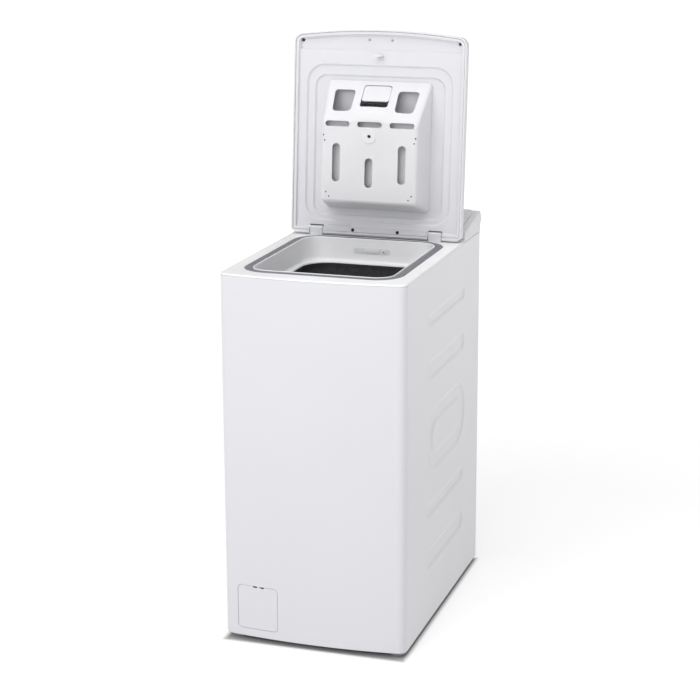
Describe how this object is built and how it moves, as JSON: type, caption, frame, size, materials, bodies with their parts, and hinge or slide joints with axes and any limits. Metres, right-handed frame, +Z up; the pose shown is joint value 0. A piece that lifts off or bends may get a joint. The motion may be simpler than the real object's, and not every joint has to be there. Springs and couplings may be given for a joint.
{
  "type": "top load washing machine",
  "caption": "Slim white top-loading washing machine with its lid open, detergent dispenser in the lid, horizontal drum with two flaps, and a filter door at the foot.",
  "frame": {"origin": "on the floor, under the middle of the machine's overall width and depth", "axes": "+Z up, the front faces -Y, +X to the right of someone facing the front"},
  "size_m": [0.4, 0.623, 1.2581],
  "materials": {
    "enamel": "smooth white enamel",
    "white_plastic": "satin",
    "liner_plastic": "satin",
    "grey_plastic": "satin",
    "seal_rubber": "matt",
    "black_rubber": "matt",
    "dark_plastic": "satin",
    "tub_plastic": "fine grain",
    "stainless": "brushed",
    "zinc_steel": "galvanised",
    "black_steel": "black oxide",
    "concrete": "cast concrete",
    "display_glass": "dark window",
    "circuit_board": "lacquered"
  },
  "bodies": {
    "cabinet": {"base_frame": "zinc_steel", "foot_front_left": "grey_plastic", "foot_front_right": "grey_plastic", "foot_rear_left": "grey_plastic", "foot_rear_right": "grey_plastic", "side_panel_left": "enamel", "side_panel_right": "enamel", "front_panel": "enamel", "rear_panel": "zinc_steel", "top_frame": "white_plastic", "lid_seal": "seal_rubber", "well_clip": "white_plastic", "lid_lock": "dark_plastic", "bellows": "black_rubber", "console_housing": "white_plastic", "control_fascia": "white_plastic", "display_window": "display_glass", "control_board": "circuit_board", "hinge_bracket_left": "white_plastic", "hinge_bracket_right": "white_plastic", "drain_pump": "dark_plastic", "tub_left": "tub_plastic", "tub_right": "tub_plastic", "counterweight": "concrete", "damper_left": "dark_plastic", "damper_right": "dark_plastic", "bearing_left": "zinc_steel", "bearing_right": "zinc_steel", "drive_belt": "black_rubber", "motor": "zinc_steel", "inlet_valve": "dark_plastic", "drain_collar": "dark_plastic", "cable_gland": "dark_plastic", "heater": "zinc_steel"},
    "lid": {"lid_shell": "white_plastic", "lid_liner": "liner_plastic", "lid_latch": "white_plastic", "dispenser_tray": "white_plastic", "siphon_comb": "dark_plastic", "hinge_pin_left": "zinc_steel", "hinge_pin_right": "zinc_steel", "lid_screw_front_left": "black_steel", "lid_screw_front_right": "black_steel", "lid_screw_rear_left": "black_steel", "lid_screw_rear_right": "black_steel"},
    "hatch": {"softener_hatch": "white_plastic"},
    "door": {"filter_door": "white_plastic"},
    "filter": {"pump_filter_knob": "grey_plastic"},
    "drum": {"drum_shell": "stainless", "drum_paddle": "white_plastic", "drum_shaft_left": "zinc_steel", "drum_shaft_right": "zinc_steel", "drum_pulley": "zinc_steel"},
    "flap_front": {"drum_flap_front": "stainless"},
    "flap_rear": {"drum_flap_rear": "stainless"},
    "rotor": {"motor_pulley": "zinc_steel"},
    "knob": {"programme_knob": "grey_plastic"},
    "button_one": {"button_1": "grey_plastic"},
    "button_two": {"button_2": "grey_plastic"},
    "button_three": {"button_3": "grey_plastic"}
  },
  "joints": [
    {"name": "lid_hinge", "type": "hinge", "parent": "cabinet", "child": "lid", "pos_m": [0, 0.1416, 0.813], "axis": [1, 0, 0], "range_deg": [0, 95]},
    {"name": "hatch_hinge", "type": "hinge", "parent": "lid", "child": "hatch", "pos_m": [0, 0.16634, 1.13459], "axis": [1, 0, 0], "range_deg": [-75, 0]},
    {"name": "filter_door_hinge", "type": "hinge", "parent": "cabinet", "child": "door", "pos_m": [0, -0.3098, 0.0306], "axis": [1, 0, 0], "range_deg": [0, 85]},
    {"name": "filter_knob_turn", "type": "hinge", "parent": "cabinet", "child": "filter", "pos_m": [-0.122, -0.29, 0.082], "axis": [0, -1, 0], "range_deg": [0, 540]},
    {"name": "drum_spin", "type": "hinge", "parent": "cabinet", "child": "drum", "pos_m": [0, -0.06, 0.445], "axis": [1, 0, 0], "continuous": true},
    {"name": "flap_front_hinge", "type": "hinge", "parent": "drum", "child": "flap_front", "pos_m": [0, -0.15567, 0.628], "axis": [1, 0, 0], "range_deg": [-92, 0]},
    {"name": "flap_rear_hinge", "type": "hinge", "parent": "drum", "child": "flap_rear", "pos_m": [0, 0.03567, 0.628], "axis": [-1, 0, 0], "range_deg": [-92, 0]},
    {"name": "motor_spin", "type": "hinge", "parent": "cabinet", "child": "rotor", "pos_m": [0.165, 0.15, 0.13], "axis": [1, 0, 0], "continuous": true},
    {"name": "knob_turn", "type": "hinge", "parent": "cabinet", "child": "knob", "pos_m": [0.11, 0.23787, 0.84825], "axis": [0, -0.2032, 0.9791], "continuous": true},
    {"name": "button_one_press", "type": "slide", "parent": "cabinet", "child": "button_one", "axis": [0, 0.2032, -0.9791], "range_m": [0, 0.002], "stiffness_N_per_m": 900, "springref_m": -0.001},
    {"name": "button_two_press", "type": "slide", "parent": "cabinet", "child": "button_two", "axis": [0, 0.2032, -0.9791], "range_m": [0, 0.002], "stiffness_N_per_m": 900, "springref_m": -0.001},
    {"name": "button_three_press", "type": "slide", "parent": "cabinet", "child": "button_three", "axis": [0, 0.2032, -0.9791], "range_m": [0, 0.002], "stiffness_N_per_m": 900, "springref_m": -0.001}
  ],
  "couplings": [
    {"joint": "motor_spin", "follows": "drum_spin", "ratio": 12.727}
  ]
}
